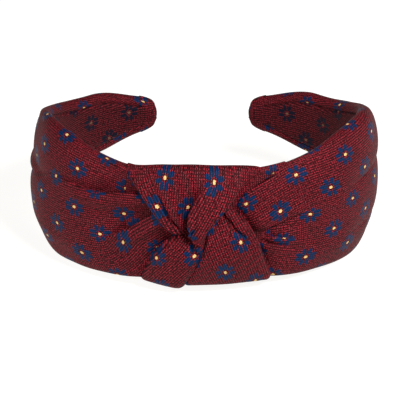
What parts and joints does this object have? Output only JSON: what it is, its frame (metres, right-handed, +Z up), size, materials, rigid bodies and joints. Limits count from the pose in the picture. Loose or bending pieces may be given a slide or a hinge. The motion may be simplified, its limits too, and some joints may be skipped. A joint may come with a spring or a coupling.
{
  "type": "knotted headband",
  "caption": "Wide fabric-covered open hoop headband with a knot over the crown, padded sides and narrow tips that spring apart.",
  "frame": {"origin": "middle of the whole object in plan, on the surface that its lower long edge stands on", "axes": "+Z up through the band's width, -Y towards the knot, +Y towards the open tips, +X to the right of someone facing the knot; the hoop is widest along X"},
  "size_m": [0.152, 0.1311, 0.0622],
  "materials": {
    "cover_fabric": "burgundy woven silk jacquard with small navy flowers",
    "lining_fabric": "the same woven fabric, laid flat",
    "padding": "white polyester wadding, hidden",
    "hoop_plastic": "springy moulded plastic, hidden",
    "thread": "fine matching sewing thread"
  },
  "bodies": {
    "crown": {"hoop_crown": "hoop_plastic", "lining_crown": "lining_fabric", "padding_left_crown": "padding", "padding_right_crown": "padding", "cover_left_crown": "cover_fabric", "cover_right_crown": "cover_fabric", "crown_sleeve": "cover_fabric", "knot_over_strand": "cover_fabric", "knot_under_strand": "cover_fabric", "lining_stitches_crown": "thread"},
    "left_arm": {"hoop_left_arm": "hoop_plastic", "lining_left_arm": "lining_fabric", "padding_left_arm": "padding", "cover_left_arm": "cover_fabric", "tip_wrap_left": "cover_fabric", "lining_stitches_left_arm": "thread"},
    "right_arm": {"hoop_right_arm": "hoop_plastic", "lining_right_arm": "lining_fabric", "padding_right_arm": "padding", "cover_right_arm": "cover_fabric", "tip_wrap_right": "cover_fabric", "lining_stitches_right_arm": "thread"}
  },
  "joints": [
    {"name": "left_arm_flex", "type": "hinge", "parent": "crown", "child": "left_arm", "pos_m": [-0.06669, -0.00702, 0.0309], "axis": [0, 0, 1], "range_deg": [-4, 25], "stiffness_Nm_per_rad": 0.7},
    {"name": "right_arm_flex", "type": "hinge", "parent": "crown", "child": "right_arm", "pos_m": [0.06669, -0.00702, 0.0309], "axis": [0, 0, -1], "range_deg": [-4, 25], "stiffness_Nm_per_rad": 0.7}
  ]
}
